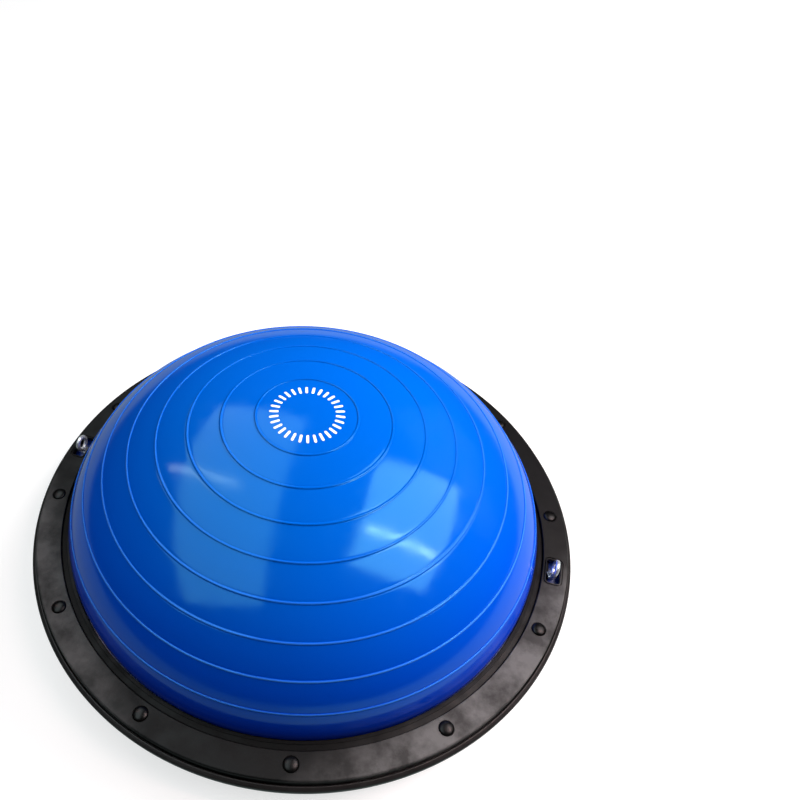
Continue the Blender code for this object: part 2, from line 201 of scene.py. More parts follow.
def carved(mesh, steps):
    """The mesh after each Boolean step of (operation, helper mesh), with clean face normals."""
    work = bpy.data.objects.new("work", mesh)
    bpy.context.scene.collection.objects.link(work)
    tools = []
    for operation, tool_mesh in steps:
        tool = bpy.data.objects.new("tool", tool_mesh)
        bpy.context.scene.collection.objects.link(tool)
        tools.append(tool)
        modifier = work.modifiers.new("carve", "BOOLEAN")
        modifier.operation = operation
        modifier.solver = "EXACT"
        modifier.object = tool
    graph = bpy.context.evaluated_depsgraph_get()
    result = bpy.data.meshes.new_from_object(work.evaluated_get(graph), depsgraph=graph)
    for helper in (work, *tools):
        bpy.data.objects.remove(helper, do_unlink=True)
    return result


def add_piece(name, mesh, material, replaced, body="base", place=None, crease=32):
    """Puts a finished mesh on its CAD body, in place of its CAD nodes."""
    piece = bpy.data.objects.new(name, mesh)
    bpy.context.scene.collection.objects.link(piece)
    mesh.materials.clear()
    mesh.materials.append(material)
    mesh.shade_smooth()
    mesh.set_sharp_from_angle(angle=radians(crease))
    normals = piece.modifiers.new("normals", "WEIGHTED_NORMAL")
    normals.keep_sharp = True
    if place:
        piece.matrix_world = place
    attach(piece, body)
    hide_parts(*replaced)
    return piece


# Materials --------------------------------------------------------------------------


class Finish:
    """A material under construction: its nodes, and short ways to add them."""

    def __init__(self, name):
        self.material = bpy.data.materials.new(name)
        self.material.use_nodes = True
        self.tree = self.material.node_tree
        self.shader = self.tree.nodes["Principled BSDF"]
        self.place = self.tree.nodes.new("ShaderNodeTexCoord").outputs["Object"]

    def link(self, output, target):
        self.tree.links.new(output, target)

    def set(self, **values):
        for name, value in values.items():
            self.shader.inputs[name.replace("_", " ")].default_value = value

    def noise(self, scale, detail=3.0, roughness=0.5, stretch=(1, 1, 1)):
        """A noise pattern of that many spots a metre, stretched along the axes."""
        mapping = self.tree.nodes.new("ShaderNodeMapping")
        mapping.inputs["Scale"].default_value = stretch
        texture = self.tree.nodes.new("ShaderNodeTexNoise")
        texture.inputs["Scale"].default_value = scale
        texture.inputs["Detail"].default_value = detail
        texture.inputs["Roughness"].default_value = roughness
        self.link(self.place, mapping.inputs["Vector"])
        self.link(mapping.outputs["Vector"], texture.inputs["Vector"])
        return texture.outputs["Fac"]

    def cells(self, scale):
        """Small rounded pebbles, as on a spark-eroded mould."""
        texture = self.tree.nodes.new("ShaderNodeTexVoronoi")
        texture.feature = "SMOOTH_F1"
        texture.inputs["Scale"].default_value = scale
        self.link(self.place, texture.inputs["Vector"])
        return texture.outputs["Distance"]

    def between(self, pattern, low, high, darkest, brightest):
        """Maps the pattern's range from low to high onto new values."""
        change = self.tree.nodes.new("ShaderNodeMapRange")
        change.inputs["From Min"].default_value = low
        change.inputs["From Max"].default_value = high
        change.inputs["To Min"].default_value = darkest
        change.inputs["To Max"].default_value = brightest
        self.link(pattern, change.inputs["Value"])
        return change.outputs["Result"]

    def colour(self, pattern, first, second, low=0.35, high=0.65):
        """The base colour wanders from first to second with the pattern."""
        mix = self.tree.nodes.new("ShaderNodeMix")
        mix.data_type = "RGBA"
        mix.inputs["A"].default_value = (*first, 1.0)
        mix.inputs["B"].default_value = (*second, 1.0)
        self.link(self.between(pattern, low, high, 0.0, 1.0), mix.inputs["Factor"])
        self.link(mix.outputs["Result"], self.shader.inputs["Base Color"])

    def paler(self, mesh_value, tone, strength):
        """Mixes a paler tone into the base colour where the mesh says so."""
        mask = self.tree.nodes.new("ShaderNodeAttribute")
        mask.attribute_name = mesh_value
        mix = self.tree.nodes.new("ShaderNodeMix")
        mix.data_type = "RGBA"
        mix.inputs["B"].default_value = (*tone, 1.0)
        self.link(self.shader.inputs["Base Color"].links[0].from_socket, mix.inputs["A"])
        self.link(self.between(mask.outputs["Fac"], 0.0, 1.0, 0.0, strength), mix.inputs["Factor"])
        self.link(mix.outputs["Result"], self.shader.inputs["Base Color"])

    def roughness(self, pattern, smoothest, roughest, low=0.35, high=0.65):
        spread = self.between(pattern, low, high, smoothest, roughest)
        self.link(spread, self.shader.inputs["Roughness"])

    def along(self, axis):
        """How far a point lies along that axis of the piece, in metres."""
        product = self.tree.nodes.new("ShaderNodeVectorMath")
        product.operation = "DOT_PRODUCT"
        product.inputs[1].default_value = axis
        self.link(self.place, product.inputs[0])
        return product.outputs["Value"]

    def plus(self, pattern, other, share):
        """One pattern plus a share of another."""
        total = self.tree.nodes.new("ShaderNodeMath")
        total.operation = "MULTIPLY_ADD"
        self.link(other, total.inputs[0])
        total.inputs[1].default_value = share
        self.link(pattern, total.inputs[2])
        return total.outputs["Value"]

    def times(self, pattern, other):
        product = self.tree.nodes.new("ShaderNodeMath")
        product.operation = "MULTIPLY"
        self.link(pattern, product.inputs[0])
        self.link(other, product.inputs[1])
        return product.outputs["Value"]

    def relief(self, *layers):
        """Bumps from pairs of (pattern, height in metres)."""
        normal = None
        for pattern, height in layers:
            bump = self.tree.nodes.new("ShaderNodeBump")
            bump.inputs["Distance"].default_value = height
            self.link(pattern, bump.inputs["Height"])
            if normal:
                self.link(normal, bump.inputs["Normal"])
            normal = bump.outputs["Normal"]
        self.link(normal, self.shader.inputs["Normal"])


def dome_vinyl():
    """Glossy vinyl, deeper in colour towards its foot: painted shade, darker low down where the dome
    falls into shade.
    """
    finish = Finish("dome_pvc")
    # Painted shade: the base colour runs with height from the darker foot tone up to the crown tone.
    stretch = finish.plus(finish.along((0, 0, 1)), finish.noise(9, 2), 12 * MM)
    foot = (0.0, 0.040, 0.56)
    crown = (0.0, 0.092, 0.49)
    finish.colour(stretch, foot, crown, low=62 * MM, high=185 * MM)
    # Painted highlight: the rib beads take a paler tone, most on the outer ribs, as where they catch
    # the lamps.
    finish.paler("rib", (0.04, 0.22, 0.80), 0.6)
    finish.roughness(finish.noise(60, 4), 0.09, 0.16)
    finish.relief((finish.noise(7, 1), 1.2 * MM), (finish.noise(900, 2), 0.01 * MM))
    finish.set(IOR=1.5, Specular_Tint=(0.24, 1.0, 1.0, 1.0))
    return finish.material


def flange_vinyl_in_painted_shade():
    finish = Finish("dome_flange")
    # Painted shade: far darker than the dome's own vinyl, of which the flange is part, for the shade
    # down in the eye windows.
    finish.colour(finish.noise(120, 3), (0.0, 0.012, 0.12), (0.0, 0.020, 0.17))
    finish.roughness(finish.noise(200, 3), 0.22, 0.34)
    finish.relief((finish.noise(160, 2), 0.1 * MM))
    return finish.material


def sheet_vinyl():
    finish = Finish("sheet_pvc")
    finish.colour(finish.noise(14, 2), (0.0, 0.04, 0.36), (0.0, 0.06, 0.46))
    finish.roughness(finish.noise(80, 3), 0.26, 0.36)
    finish.relief((finish.noise(40, 2), 0.3 * MM))
    return finish.material


def print_ink():
    finish = Finish("dome_print")
    finish.colour(finish.noise(400, 3), (0.84, 0.85, 0.88), (0.92, 0.93, 0.95))
    finish.roughness(finish.noise(500, 2), 0.30, 0.42)
    return finish.material


def moulded_black(name, dark, light, smoothest, roughest, gloss):
    """Black plastic with a fine mould grain and cloudy patches."""
    finish = Finish(name)
    clouds = finish.noise(34, 5, 0.62)
    finish.colour(clouds, dark, light)
    finish.roughness(clouds, smoothest, roughest)
    finish.relief(
        (finish.cells(1100), 0.05 * MM),
        (finish.noise(160, 3), 0.06 * MM),
    )
    finish.set(Specular_IOR_Level=gloss)
    return finish.material


def scuffed_and_side_lit_black(name, dark, scuffed_and_lit, gloss):
    """Moulded black plastic, paler in clouds on its right and, less, its front-left: the cloudy grain
    is scuffing, and the paler sides are painted light, where the lamps fall.
    """
    finish = Finish(name)
    clouds = finish.between(finish.noise(34, 5, 0.62), 0.36, 0.62, 0.25, 1.0)
    # Painted light: these two masks make the right-hand and front-left stretches paler.
    right = finish.between(finish.along((0.82, -0.57, 0)), 216 * MM, 268 * MM, 0.0, 1.0)
    left = finish.between(finish.along((-0.73, -0.68, 0)), 238 * MM, 270 * MM, 0.0, 0.75)
    painted_side_light = finish.plus(right, left, 1.0)
    finish.colour(finish.times(clouds, painted_side_light), dark, scuffed_and_lit, low=0.0, high=1.0)
    finish.roughness(finish.noise(60, 3), 0.44, 0.60)
    finish.relief(
        (finish.cells(1100), 0.05 * MM),
        (finish.noise(160, 3), 0.06 * MM),
    )
    finish.set(Specular_IOR_Level=gloss)
    return finish.material


def polished_chrome():
    """Bright plating under a thin pale film, so that it also takes soft light."""
    finish = Finish("chrome")
    finish.colour(finish.noise(300, 2), (0.78, 0.79, 0.82), (0.88, 0.89, 0.91))
    finish.roughness(finish.noise(700, 4), 0.10, 0.18)
    finish.set(Metallic=0.72)
    return finish.material


def zinc_steel():
    finish = Finish("steel")
    finish.colour(finish.noise(250, 4), (0.46, 0.46, 0.45), (0.60, 0.60, 0.58))
    finish.roughness(finish.noise(900, 4), 0.26, 0.42)
    finish.relief((finish.noise(1500, 2), 0.01 * MM))
    finish.set(Metallic=1.0)
    return finish.material


def foot_rubber():
    finish = Finish("foot_rubber")
    finish.colour(finish.noise(120, 4), (0.020, 0.020, 0.020), (0.036, 0.035, 0.034))
    finish.roughness(finish.noise(200, 3), 0.66, 0.84)
    finish.relief((finish.cells(1600), 0.04 * MM))
    return finish.material


def valve_plastic():
    finish = Finish("valve_plastic")
    finish.colour(finish.noise(150, 3), (0.68, 0.67, 0.63), (0.76, 0.75, 0.71))
    finish.roughness(finish.noise(400, 3), 0.34, 0.46)
    finish.relief((finish.noise(1200, 2), 0.01 * MM))
    return finish.material


# The rim and the clamp both carry painted light on their right and front-left.
rim_black = scuffed_and_side_lit_black("rim_plastic", (0.0024,) * 3, (0.098, 0.0945, 0.094), 0.24)
tray_black = moulded_black(
    "tray_plastic", (0.0085, 0.0070, 0.0071), (0.0125, 0.0108, 0.0109), 0.40, 0.52, 0.45
)
cap_black = moulded_black("cap_plastic", (0.0012,) * 3, (0.0022,) * 3, 0.30, 0.36, 0.3)
clamp_black = scuffed_and_side_lit_black("clamp_plastic", (0.0012,) * 3, (0.016,) * 3, 0.16)
vinyl = dome_vinyl()
painted_shade_flange_blue = flange_vinyl_in_painted_shade()
sheet = sheet_vinyl()
ink = print_ink()
chrome = polished_chrome()
steel = zinc_steel()
rubber = foot_rubber()
valve_white = valve_plastic()


# Dome -------------------------------------------------------------------------------

RIB_COUNT = 8
FIRST_RIB = 48.5 * MM  # arc length from the top
RIB_PITCH = 33.4 * MM
RIB_WIDTH = 2.2 * MM
RIB_PROUD = 0.8 * MM
CREASE_WIDTH = 1.4 * MM  # the faint furrow beside each rib
CREASE_DEPTH = 0.12 * MM


def dome_height(radius, inset=0.0):
    share = min(radius / (DOME_RADIUS - inset), 1.0)
    return RIM_FACE + (DOME_RISE - inset) * (1 - share * share) ** (1 / DOME_POWER)


def dome_curve(samples=6000):
    """Points of the dome's curve from its top to its foot, each with its arc length."""
    points = []
    length = 0.0
    for index in range(samples + 1):
        radius = DOME_RADIUS * sin(pi / 2 * index / samples)
        point = Vector((radius, dome_height(radius)))
        if points:
            length += (point - points[-1][1]).length
        points.append((length, point))
    return points


def rib_rise(length):
    """How far the skin stands out at that arc length: a half-round bead between two furrows."""
    nearest = round((length - FIRST_RIB) / RIB_PITCH)
    middle = FIRST_RIB + min(max(nearest, 0), RIB_COUNT - 1) * RIB_PITCH
    off = abs(length - middle)
    if off < RIB_WIDTH / 2:
        return RIB_PROUD * (1 - (2 * off / RIB_WIDTH) ** 2) ** 0.5
    if off < RIB_WIDTH / 2 + CREASE_WIDTH:
        across = (off - RIB_WIDTH / 2) / CREASE_WIDTH
        return -CREASE_DEPTH * sin(pi * across)
    return 0.0


def rib_highlight(length):
    """How much painted highlight the bead takes at that arc length: the outer ribs take more of it
    than the inner ones.
    """
    along = (length - FIRST_RIB) / (RIB_PITCH * (RIB_COUNT - 1))
    highlight_share = min(max((along - 0.35) / 0.5, 0.0), 1.0)
    return highlight_share * max(rib_rise(length), 0.0) / RIB_PROUD


def sample_lengths(total):
    """Arc lengths along the dome, close together at the ribs and further apart between them."""
    beads = [0.0, 0.18, 0.36, 0.54, 0.70, 0.84, 0.94, 1.0]
    lengths = set()
    for index in range(RIB_COUNT):
        middle = FIRST_RIB + index * RIB_PITCH
        for share in beads:
            lengths.add(middle + share * RIB_WIDTH / 2)
            lengths.add(middle - share * RIB_WIDTH / 2)
        for part in (1, 2, 3, 4):
            beyond = RIB_WIDTH / 2 + CREASE_WIDTH * part / 4
            lengths.add(middle + beyond)
            lengths.add(middle - beyond)
    plain = [total * index / 110 for index in range(111)]
    reach = RIB_WIDTH / 2 + CREASE_WIDTH
    for length in plain:
        nearest = round((length - FIRST_RIB) / RIB_PITCH)
        middle = FIRST_RIB + min(max(nearest, 0), RIB_COUNT - 1) * RIB_PITCH
        if abs(length - middle) > reach + 0.5 * MM:
            lengths.add(length)
    return sorted(length for length in lengths if length <= total)


def dome_outline():
    """The outer side from the top to the foot, and how much painted highlight its rib takes at each
    point.
    """
    curve = dome_curve()
    total = curve[-1][0]
    outline = []
    shares = []
    index = 0
    for length in sample_lengths(total):
        while index < len(curve) - 2 and curve[index + 1][0] < length:
            index += 1
        (start_length, start), (end_length, end) = curve[index], curve[index + 1]
        along = (end - start).normalized()
        point = start + along * (length - start_length)
        outwards = Vector((-along.y, along.x))
        place = point + outwards * rib_rise(length)
        outline.append((max(place.x, 0.0), place.y))
        shares.append(rib_highlight(length))
    return outline, shares


def make_dome():
    inner_radius = DOME_RADIUS - SKIN
    inside = []
    for index in range(40, -1, -1):
        radius = inner_radius * sin(pi / 2 * index / 40)
        inside.append((radius, dome_height(radius, SKIN)))
    foot = [(DOME_RADIUS, SKIN_FOOT), (inner_radius, SKIN_FOOT)]
    outline, shares = dome_outline()
    mesh = turned_solid(outline + foot + inside, FINE_STEPS)
    # The top ring has become one point; every other ring keeps its full count.
    ribs = shares[:1] + [share for share in shares[1:] for _ in range(FINE_STEPS)]
    ribs += [0.0] * (len(mesh.vertices) - len(ribs))
    # The rib value marks how much painted highlight the shader puts at each point.
    mesh.attributes.new("rib", "FLOAT", "POINT").data.foreach_set("value", ribs)
    return add_piece("dome", mesh, vinyl, ["dome_skin"], crease=60)


DASH_COUNT = 30
DASH_INNER = 26.8 * MM
DASH_OUTER = 35.8 * MM
DASH_WIDTH = 2.5 * MM
INK = 0.12 * MM


def dash(turn):
    """One printed bar with round ends that follows the dome."""
    half_length = (DASH_OUTER - DASH_INNER) / 2
    centre = (DASH_OUTER + DASH_INNER) / 2
    place = Matrix.Rotation(turn, 3, "Z")
    rings = []
    for inset, lift in ((0.0, -INK), (0.0, 0.6 * INK), (0.12 * MM, INK)):
        corner = DASH_WIDTH / 2 - inset - 0.01 * MM
        flat = rounded_rectangle(half_length - inset, DASH_WIDTH / 2 - inset, corner, 0.0, 6)
        ring = []
        for x, y, _ in flat:
            point = place @ Vector((centre + x, y, 0.0))
            point.z = dome_height(hypot(point.x, point.y)) + lift
            ring.append(point)
        rings.append(ring)
    return skin_through(rings)


def make_print():
    """A plain ring of white bars round the top of the dome."""
    turns = [2 * pi * index / DASH_COUNT for index in range(DASH_COUNT)]
    mesh = joined([dash(turn) for turn in turns])
    return add_piece("dome_print", mesh, ink, [])


def make_flange():
    """The skin's welded flange, which shows in the two eye windows."""
    low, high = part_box("dome_flange")
    ring = turned(
        [
            (DOME_RADIUS - SKIN, high.z, 0.2 * MM),
            (high.x, high.z, 0.5 * MM),
            (high.x, low.z, 0.5 * MM),
            (DOME_RADIUS - SKIN, low.z, 0.2 * MM),
        ]
    )
    mesh = carved(ring, [("DIFFERENCE", flange_holes(low.z, high.z))])
    add_piece("flange", mesh, painted_shade_flange_blue, ["dome_flange"])


def flange_holes(low, high):
    """The holes of the rim screws and the eye bolts through a flange."""
    holes = []
    for places, radius in ((BOSS_PLACES, SCREW_HOLE), (EYE_PLACES, BOLT_HOLE)):
        plug = skin_through([circle(radius, low - MM, 24), circle(radius, high + MM, 24)])
        holes.append(copies(plug, places))
    return joined(holes)


def make_air_floor():
    """The flat sheet under the air, with its own wall and flange."""
    low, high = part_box("bladder_floor")
    thick = SHEET
    wall = 256.9 * MM
    valve_hole = 9.2 * MM
    ring = turned(
        [
            (valve_hole, low.z + thick, 0),
            (wall - thick, low.z + thick, 1.5 * MM),
            (wall - thick, high.z, 0.3 * MM),
            (high.x, high.z, 0.3 * MM),
            (high.x, high.z - thick, 0.3 * MM),
            (wall, high.z - thick, 0),
            (wall, low.z, 0.5 * MM),
            (valve_hole, low.z, 0),
        ]
    )
    mesh = carved(ring, [("DIFFERENCE", flange_holes(high.z - thick, high.z))])
    add_piece("air_floor", mesh, sheet, ["bladder_floor"])


# Base -------------------------------------------------------------------------------


def recess(seat, hole, wide, top, steps):
    """A cutter: a hole down to a seat, with a wider recess below it, open underneath."""
    outline = [(0, top), (hole, top), (hole, seat), (wide, seat), (wide, -MM), (0, -MM)]
    return turned_solid(outline, steps)


def make_tray():
    seat = 37.0 * MM
    plate_top = 9.0 * MM
    valve_hole = 14.0 * MM
    wall = 257.5 * MM
    over_seat = 40.0 * MM  # where the cutters end, above the seat
    corners = [
        (valve_hole, plate_top, 0.5 * MM),
        (wall, plate_top, 1.0 * MM),
        (wall, seat, 0.5 * MM),
        (294.4 * MM, seat, 0.3 * MM),
        (294.9 * MM, 43.6 * MM, 1.2 * MM),
        (LIP_RADIUS, 40.6 * MM, 3.4 * MM),
        (LIP_RADIUS, 33.0 * MM, 3.6 * MM),
        (287.0 * MM, 26.0 * MM, 8.0 * MM),
        (255.5 * MM, FLOOR_LEVEL, 5.0 * MM),
        (valve_hole, FLOOR_LEVEL, 0.8 * MM),
    ]
    screws = copies(recess(27.3 * MM, SCREW_HOLE, 5.2 * MM, over_seat, 32), BOSS_PLACES)
    eyes = copies(recess(29.0 * MM, BOLT_HOLE, 8.0 * MM, over_seat, 40), EYE_PLACES)
    foot_room = 12.3 * MM
    pocket = skin_through([circle(foot_room, -MM, 48), circle(foot_room, 4.5 * MM, 48)])
    cutters = joined([screws, eyes, copies(pocket, FOOT_PLACES)])
    mesh = carved(turned(corners, arc_steps=7), [("DIFFERENCE", cutters)])
    add_piece("tray", mesh, tray_black, ["base_tray"])


CAP_RADIUS = 7.0 * MM
CAP_RISE = 2.5 * MM
CAP_EDGE = 0.4 * MM  # the cap's dome starts this far below the rim's face
CAP_STEPS = 14


def cap_socket():
    """A cutter for the shallow socket that each screw cap sits in."""
    bottom = RIM_FACE - 2.0 * MM
    snug = CAP_RADIUS + 0.15 * MM
    flared = CAP_RADIUS + 0.6 * MM
    outline = [
        (0, bottom),
        (snug, bottom),
        (snug, RIM_FACE - 0.5 * MM),
        (flared, RIM_FACE + 0.02 * MM),
        (flared, RIM_FACE + MM),
        (0, RIM_FACE + MM),
    ]
    return turned_solid(outline, 48)


def make_screw_caps():
    """The low domed cap over each screw."""
    bottom = RIM_FACE - 1.9 * MM
    edge = RIM_FACE - CAP_EDGE
    outline = [(0, bottom), (CAP_RADIUS, bottom)]
    for index in range(CAP_STEPS + 1):
        turn = pi / 2 * index / CAP_STEPS
        outline.append((CAP_RADIUS * cos(turn), edge + (CAP_RISE + CAP_EDGE) * sin(turn)))
    caps = copies(turned_solid(outline, 48), BOSS_PLACES)
    add_piece("screw_caps", caps, cap_black, [])


WINDOW_HALF_X = 7.3 * MM
WINDOW_HALF_Y = 14.5 * MM
WINDOW_CORNER = 3.2 * MM


def round_window(out, height):
    """One ring of points that far outside a window's edge."""
    return rounded_rectangle(
        WINDOW_HALF_X + out, WINDOW_HALF_Y + out, WINDOW_CORNER + out, height
    )


def window_frame():
    """The thin raised bead round each eye window."""
    half_width = 0.75 * MM
    half_height = 0.55 * MM
    sides = 12
    rings = []
    for index in range(sides):
        turn = 2 * pi * index / sides
        out = half_width + half_width * cos(turn)
        height = RIM_FACE - 0.05 * MM + half_height * sin(turn)
        rings.append(round_window(out, height))
    return skin_through(rings, closed=True)


def window_groove():
    """A cutter for the furrow outside that bead, from pairs of millimetres outwards and upwards."""
    rings = []
    for out, height in ((1.3, 48.9), (2.2, 48.9), (2.6, 49.8), (2.8, 51.0), (1.3, 51.0)):
        rings.append(round_window(out * MM, height * MM))
    return skin_through(rings, closed=True)


def make_rim():
    inner = 267.3 * MM
    outer = 293.3 * MM
    bottom = 37.3 * MM
    underside = RIM_FACE - 3.2 * MM
    inner_foot = 42.9 * MM
    inner_wall = 269.8 * MM
    skirt = 290.0 * MM
    ring = turned(
        [
            (inner, inner_foot, 0.4 * MM),
            (inner, RIM_FACE, 0.8 * MM),
            (outer, RIM_FACE, 2.2 * MM),
            (outer + 0.7 * MM, bottom, 0.3 * MM),
            (skirt, bottom, 0.3 * MM),
            (skirt, underside, 0.6 * MM),
            (inner_wall, underside, 0.6 * MM),
            (inner_wall, inner_foot, 0.3 * MM),
        ]
    )
    opening = skin_through(
        [round_window(0.0, height) for height in (RIM_FACE - 15 * MM, RIM_FACE + 5 * MM)]
    )
    sunk = joined([copies(cap_socket(), BOSS_PLACES), copies(window_groove(), WINDOW_PLACES)])
    mesh = carved(
        ring,
        [
            ("DIFFERENCE", sunk),
            ("UNION", copies(window_frame(), WINDOW_PLACES)),
            ("DIFFERENCE", copies(opening, WINDOW_PLACES)),
        ],
    )
    add_piece("rim", mesh, rim_black, ["rim_cover"])


def make_clamp():
    """The ring that holds the dome's foot: it falls away outwards, with one shallow step.

    Its own foot is notched round the two eye nuts.
    """
    inner = 257.9 * MM
    outer = 266.9 * MM
    foot = 275.6 * MM
    low = CLAMP_BOTTOM
    foot_top = 42.6 * MM
    ring = turned(
        [
            (inner, low, 0.3 * MM),
            (inner, RIM_FACE - 1.6 * MM, 0.6 * MM),
            (inner + 3.4 * MM, RIM_FACE - 1.5 * MM, 0.5 * MM),
            (inner + 3.9 * MM, RIM_FACE - 1.9 * MM, 0.3 * MM),
            (outer, RIM_FACE - 2.9 * MM, 0.6 * MM),
            (outer, foot_top, 0.2 * MM),
            (foot, foot_top, 0.3 * MM),
            (foot, low, 0.3 * MM),
        ]
    )
    notch_radius = 5.7 * MM
    notch = skin_through(
        [circle(notch_radius, low - MM, 40), circle(notch_radius, foot_top + MM, 40)]
    )
    mesh = carved(ring, [("DIFFERENCE", copies(notch, EYE_PLACES))])
    add_piece("clamp", mesh, clamp_black, ["clamp_ring"])


# Fasteners, eyes, valve and feet ------------------------------------------------------


def cross_recess(radius, low, high):
    """A cutter for a screwdriver's cross, tapered towards its bottom."""
    arms = []
    for turn in (0, pi / 2):
        slot = skin_through(
            [
                rounded_rectangle(radius, 0.55 * MM, 0.2 * MM, low, 3),
                rounded_rectangle(radius * 0.55, 0.35 * MM, 0.15 * MM, high, 3),
            ]
        )
        slot.transform(Matrix.Rotation(turn, 4, "Z"))
        arms.append(slot)
    return arms


def make_screws():
    head_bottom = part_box("rim_screw_01")[0].z
    head_top = 27.0 * MM
    head = 4.3 * MM
    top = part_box("rim_screw_01")[1].z
    shank = 1.9 * MM
    outline = open_outline(
        [
            (0, head_bottom, 0),
            (3.2 * MM, head_bottom, 1.2 * MM),
            (head, head_top - 1.6 * MM, 0.8 * MM),
            (head, head_top, 0.2 * MM),
            (shank, head_top, 0.2 * MM),
            (shank, top - 1.4 * MM, 0.1 * MM),
            (0, top, 0),
        ]
    )
    body = turned_solid(outline, 40)
    cuts = cross_recess(2.4 * MM, head_bottom - 0.1 * MM, head_bottom + 1.7 * MM)
    mesh = carved(body, [("DIFFERENCE", cut) for cut in cuts])
    for index, place in enumerate(BOSS_PLACES, start=1):
        node = f"rim_screw_{index:02d}"
        add_piece(f"screw_{index:02d}", mesh.copy(), steel, [node], place=place)


def eye_ring():
    """The closed eye: a plain ring of round wire that stands upright across X."""
    rings = []
    for major in range(72):
        turn = 2 * pi * major / 72
        outwards = Vector((0, cos(turn), sin(turn)))
        ring = []
        for minor in range(24):
            around_wire = 2 * pi * minor / 24
            out = EYE_RADIUS + EYE_WIRE * cos(around_wire)
            point = outwards * out + Vector((EYE_WIRE * sin(around_wire), 0, 0))
            ring.append(point + Vector((0, 0, EYE_CENTRE)))
        rings.append(ring)
    return skin_through(rings, closed=True)


def make_eye_bolts():
    """Each eye with its collar and its shank."""
    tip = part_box("eye_bolt_right")[0].z
    neck_top = EYE_CENTRE - EYE_RADIUS
    collar = 3.1 * MM
    shank = EYE_SHANK
    outline = open_outline(
        [
            (0, neck_top + 0.8 * MM, 0),
            (collar, neck_top + 0.8 * MM, 0.5 * MM),
            (collar, neck_top - 1.4 * MM, 0.4 * MM),
            (shank, neck_top - 2.0 * MM, 0.2 * MM),
            (shank, tip + 0.8 * MM, 0.2 * MM),
            (shank - 0.8 * MM, tip, 0.1 * MM),
            (0, tip, 0),
        ]
    )
    mesh = carved(eye_ring(), [("UNION", turned_solid(outline, 40))])
    for side, place in zip(("left", "right"), EYE_PLACES):
        node = "eye_bolt_" + side
        add_piece("eye_" + side, mesh.copy(), chrome, [node], place=place, crease=40)


def hex_nut(across_flats, height):
    """A hexagon nut with chamfered corners and a bore, standing on z = 0."""
    corner = across_flats / 2 / cos(pi / 6)
    prism = skin_through([circle(corner, 0, 6), circle(corner, height, 6)])
    chamfer = 0.13 * across_flats * 0.5
    flat = across_flats / 2
    bound = [
        (0, 0),
        (flat, 0),
        (corner + 0.1 * MM, chamfer),
        (corner + 0.1 * MM, height - chamfer),
        (flat, height),
        (0, height),
    ]
    bore = skin_through([circle(BOLT_HOLE, -MM, 40), circle(BOLT_HOLE, height + MM, 40)])
    return carved(prism, [("INTERSECT", turned_solid(bound, 60)), ("DIFFERENCE", bore)])


def make_nuts_and_washers():
    washer_low, washer_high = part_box("eye_washer_right")
    washer_radius = (washer_high.y - washer_low.y) / 2
    thick = washer_high.z - washer_low.z
    washer = turned(
        [
            (BOLT_HOLE, 0, 0.15 * MM),
            (washer_radius, 0, 0.3 * MM),
            (washer_radius, thick, 0.3 * MM),
            (BOLT_HOLE, thick, 0.15 * MM),
        ],
        steps=64,
    )
    kinds = (
        ("top_nut_", "eye_nut_", hex_nut(8.8 * MM, 3.8 * MM), chrome, "chrome"),
        ("lock_nut_", "eye_lock_nut_", hex_nut(10.0 * MM, 4.6 * MM), steel, "steel"),
        ("washer_", "eye_washer_", washer, steel, "steel"),
    )
    for name, node, mesh, material, slot in kinds:
        for side, place in zip(("left", "right"), EYE_PLACES):
            lift = Matrix.Translation((0, 0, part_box(node + side)[0].z))
            add_piece(name + side, mesh.copy(), material, [node + side], place=place @ lift)


def make_feet():
    low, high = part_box("foot_01")
    facet = radians(4.5)  # the CAD foot is a polygon, whose flats lie further in than its corners
    radius = (high.x - low.x) / 2 / cos(facet)
    outline = [(0, high.z), (radius, high.z), (radius, 1.0 * MM), (radius - 1.0 * MM, 0)]
    for groove in (8.6, 5.8, 3.0):
        outline += [
            (groove * MM, 0),
            ((groove - 0.3) * MM, 0.6 * MM),
            ((groove - 0.9) * MM, 0.6 * MM),
            ((groove - 1.2) * MM, 0),
        ]
    outline.append((0, 0))
    mesh = turned_solid([(min(r, 12.0 * MM), z) for r, z in outline], 64)
    for index, place in enumerate(FOOT_PLACES, start=1):
        node = f"foot_{index:02d}"
        add_piece(f"grip_foot_{index:02d}", mesh.copy(), rubber, [node], place=place)


def make_valve():
    low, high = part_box("valve_seat")
    bore = 3.2 * MM
    neck = 8.9 * MM
    lower_disc = 12.5 * MM
    sheet_top = 11.2 * MM
    sheet_bottom = 9.0 * MM
    seat = turned(
        [
            (bore, high.z, 0.3 * MM),
            (15.2 * MM, high.z, 0.8 * MM),
            (16.0 * MM, sheet_top, 0.2 * MM),
            (neck, sheet_top, 0.1 * MM),
            (neck, sheet_bottom, 0.2 * MM),
            (lower_disc, sheet_bottom, 0.3 * MM),
            (lower_disc, low.z, 0.6 * MM),
            (bore, low.z, 0.3 * MM),
        ],
        steps=72,
    )
    add_piece("valve_collar", seat, valve_white, ["valve_seat"])
    low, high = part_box("valve_plug")
    stem = 2.9 * MM
    head = 8.0 * MM
    head_top = 6.5 * MM
    hollow = 0.5 * MM
    outline = open_outline(
        [
            (0, high.z, 0),
            (stem, high.z, 0.8 * MM),
            (stem, head_top, 0.2 * MM),
            (head, head_top, 0.4 * MM),
            (head, low.z, 0.9 * MM),
            (4.6 * MM, low.z, 0.2 * MM),
            (4.2 * MM, low.z + hollow, 0.2 * MM),
            (0, low.z + hollow, 0),
        ]
    )
    plug = turned_solid(outline, 64)
    add_piece("air_plug", plug, valve_white, ["valve_plug"], body="plug")


# The studio -------------------------------------------------------------------------

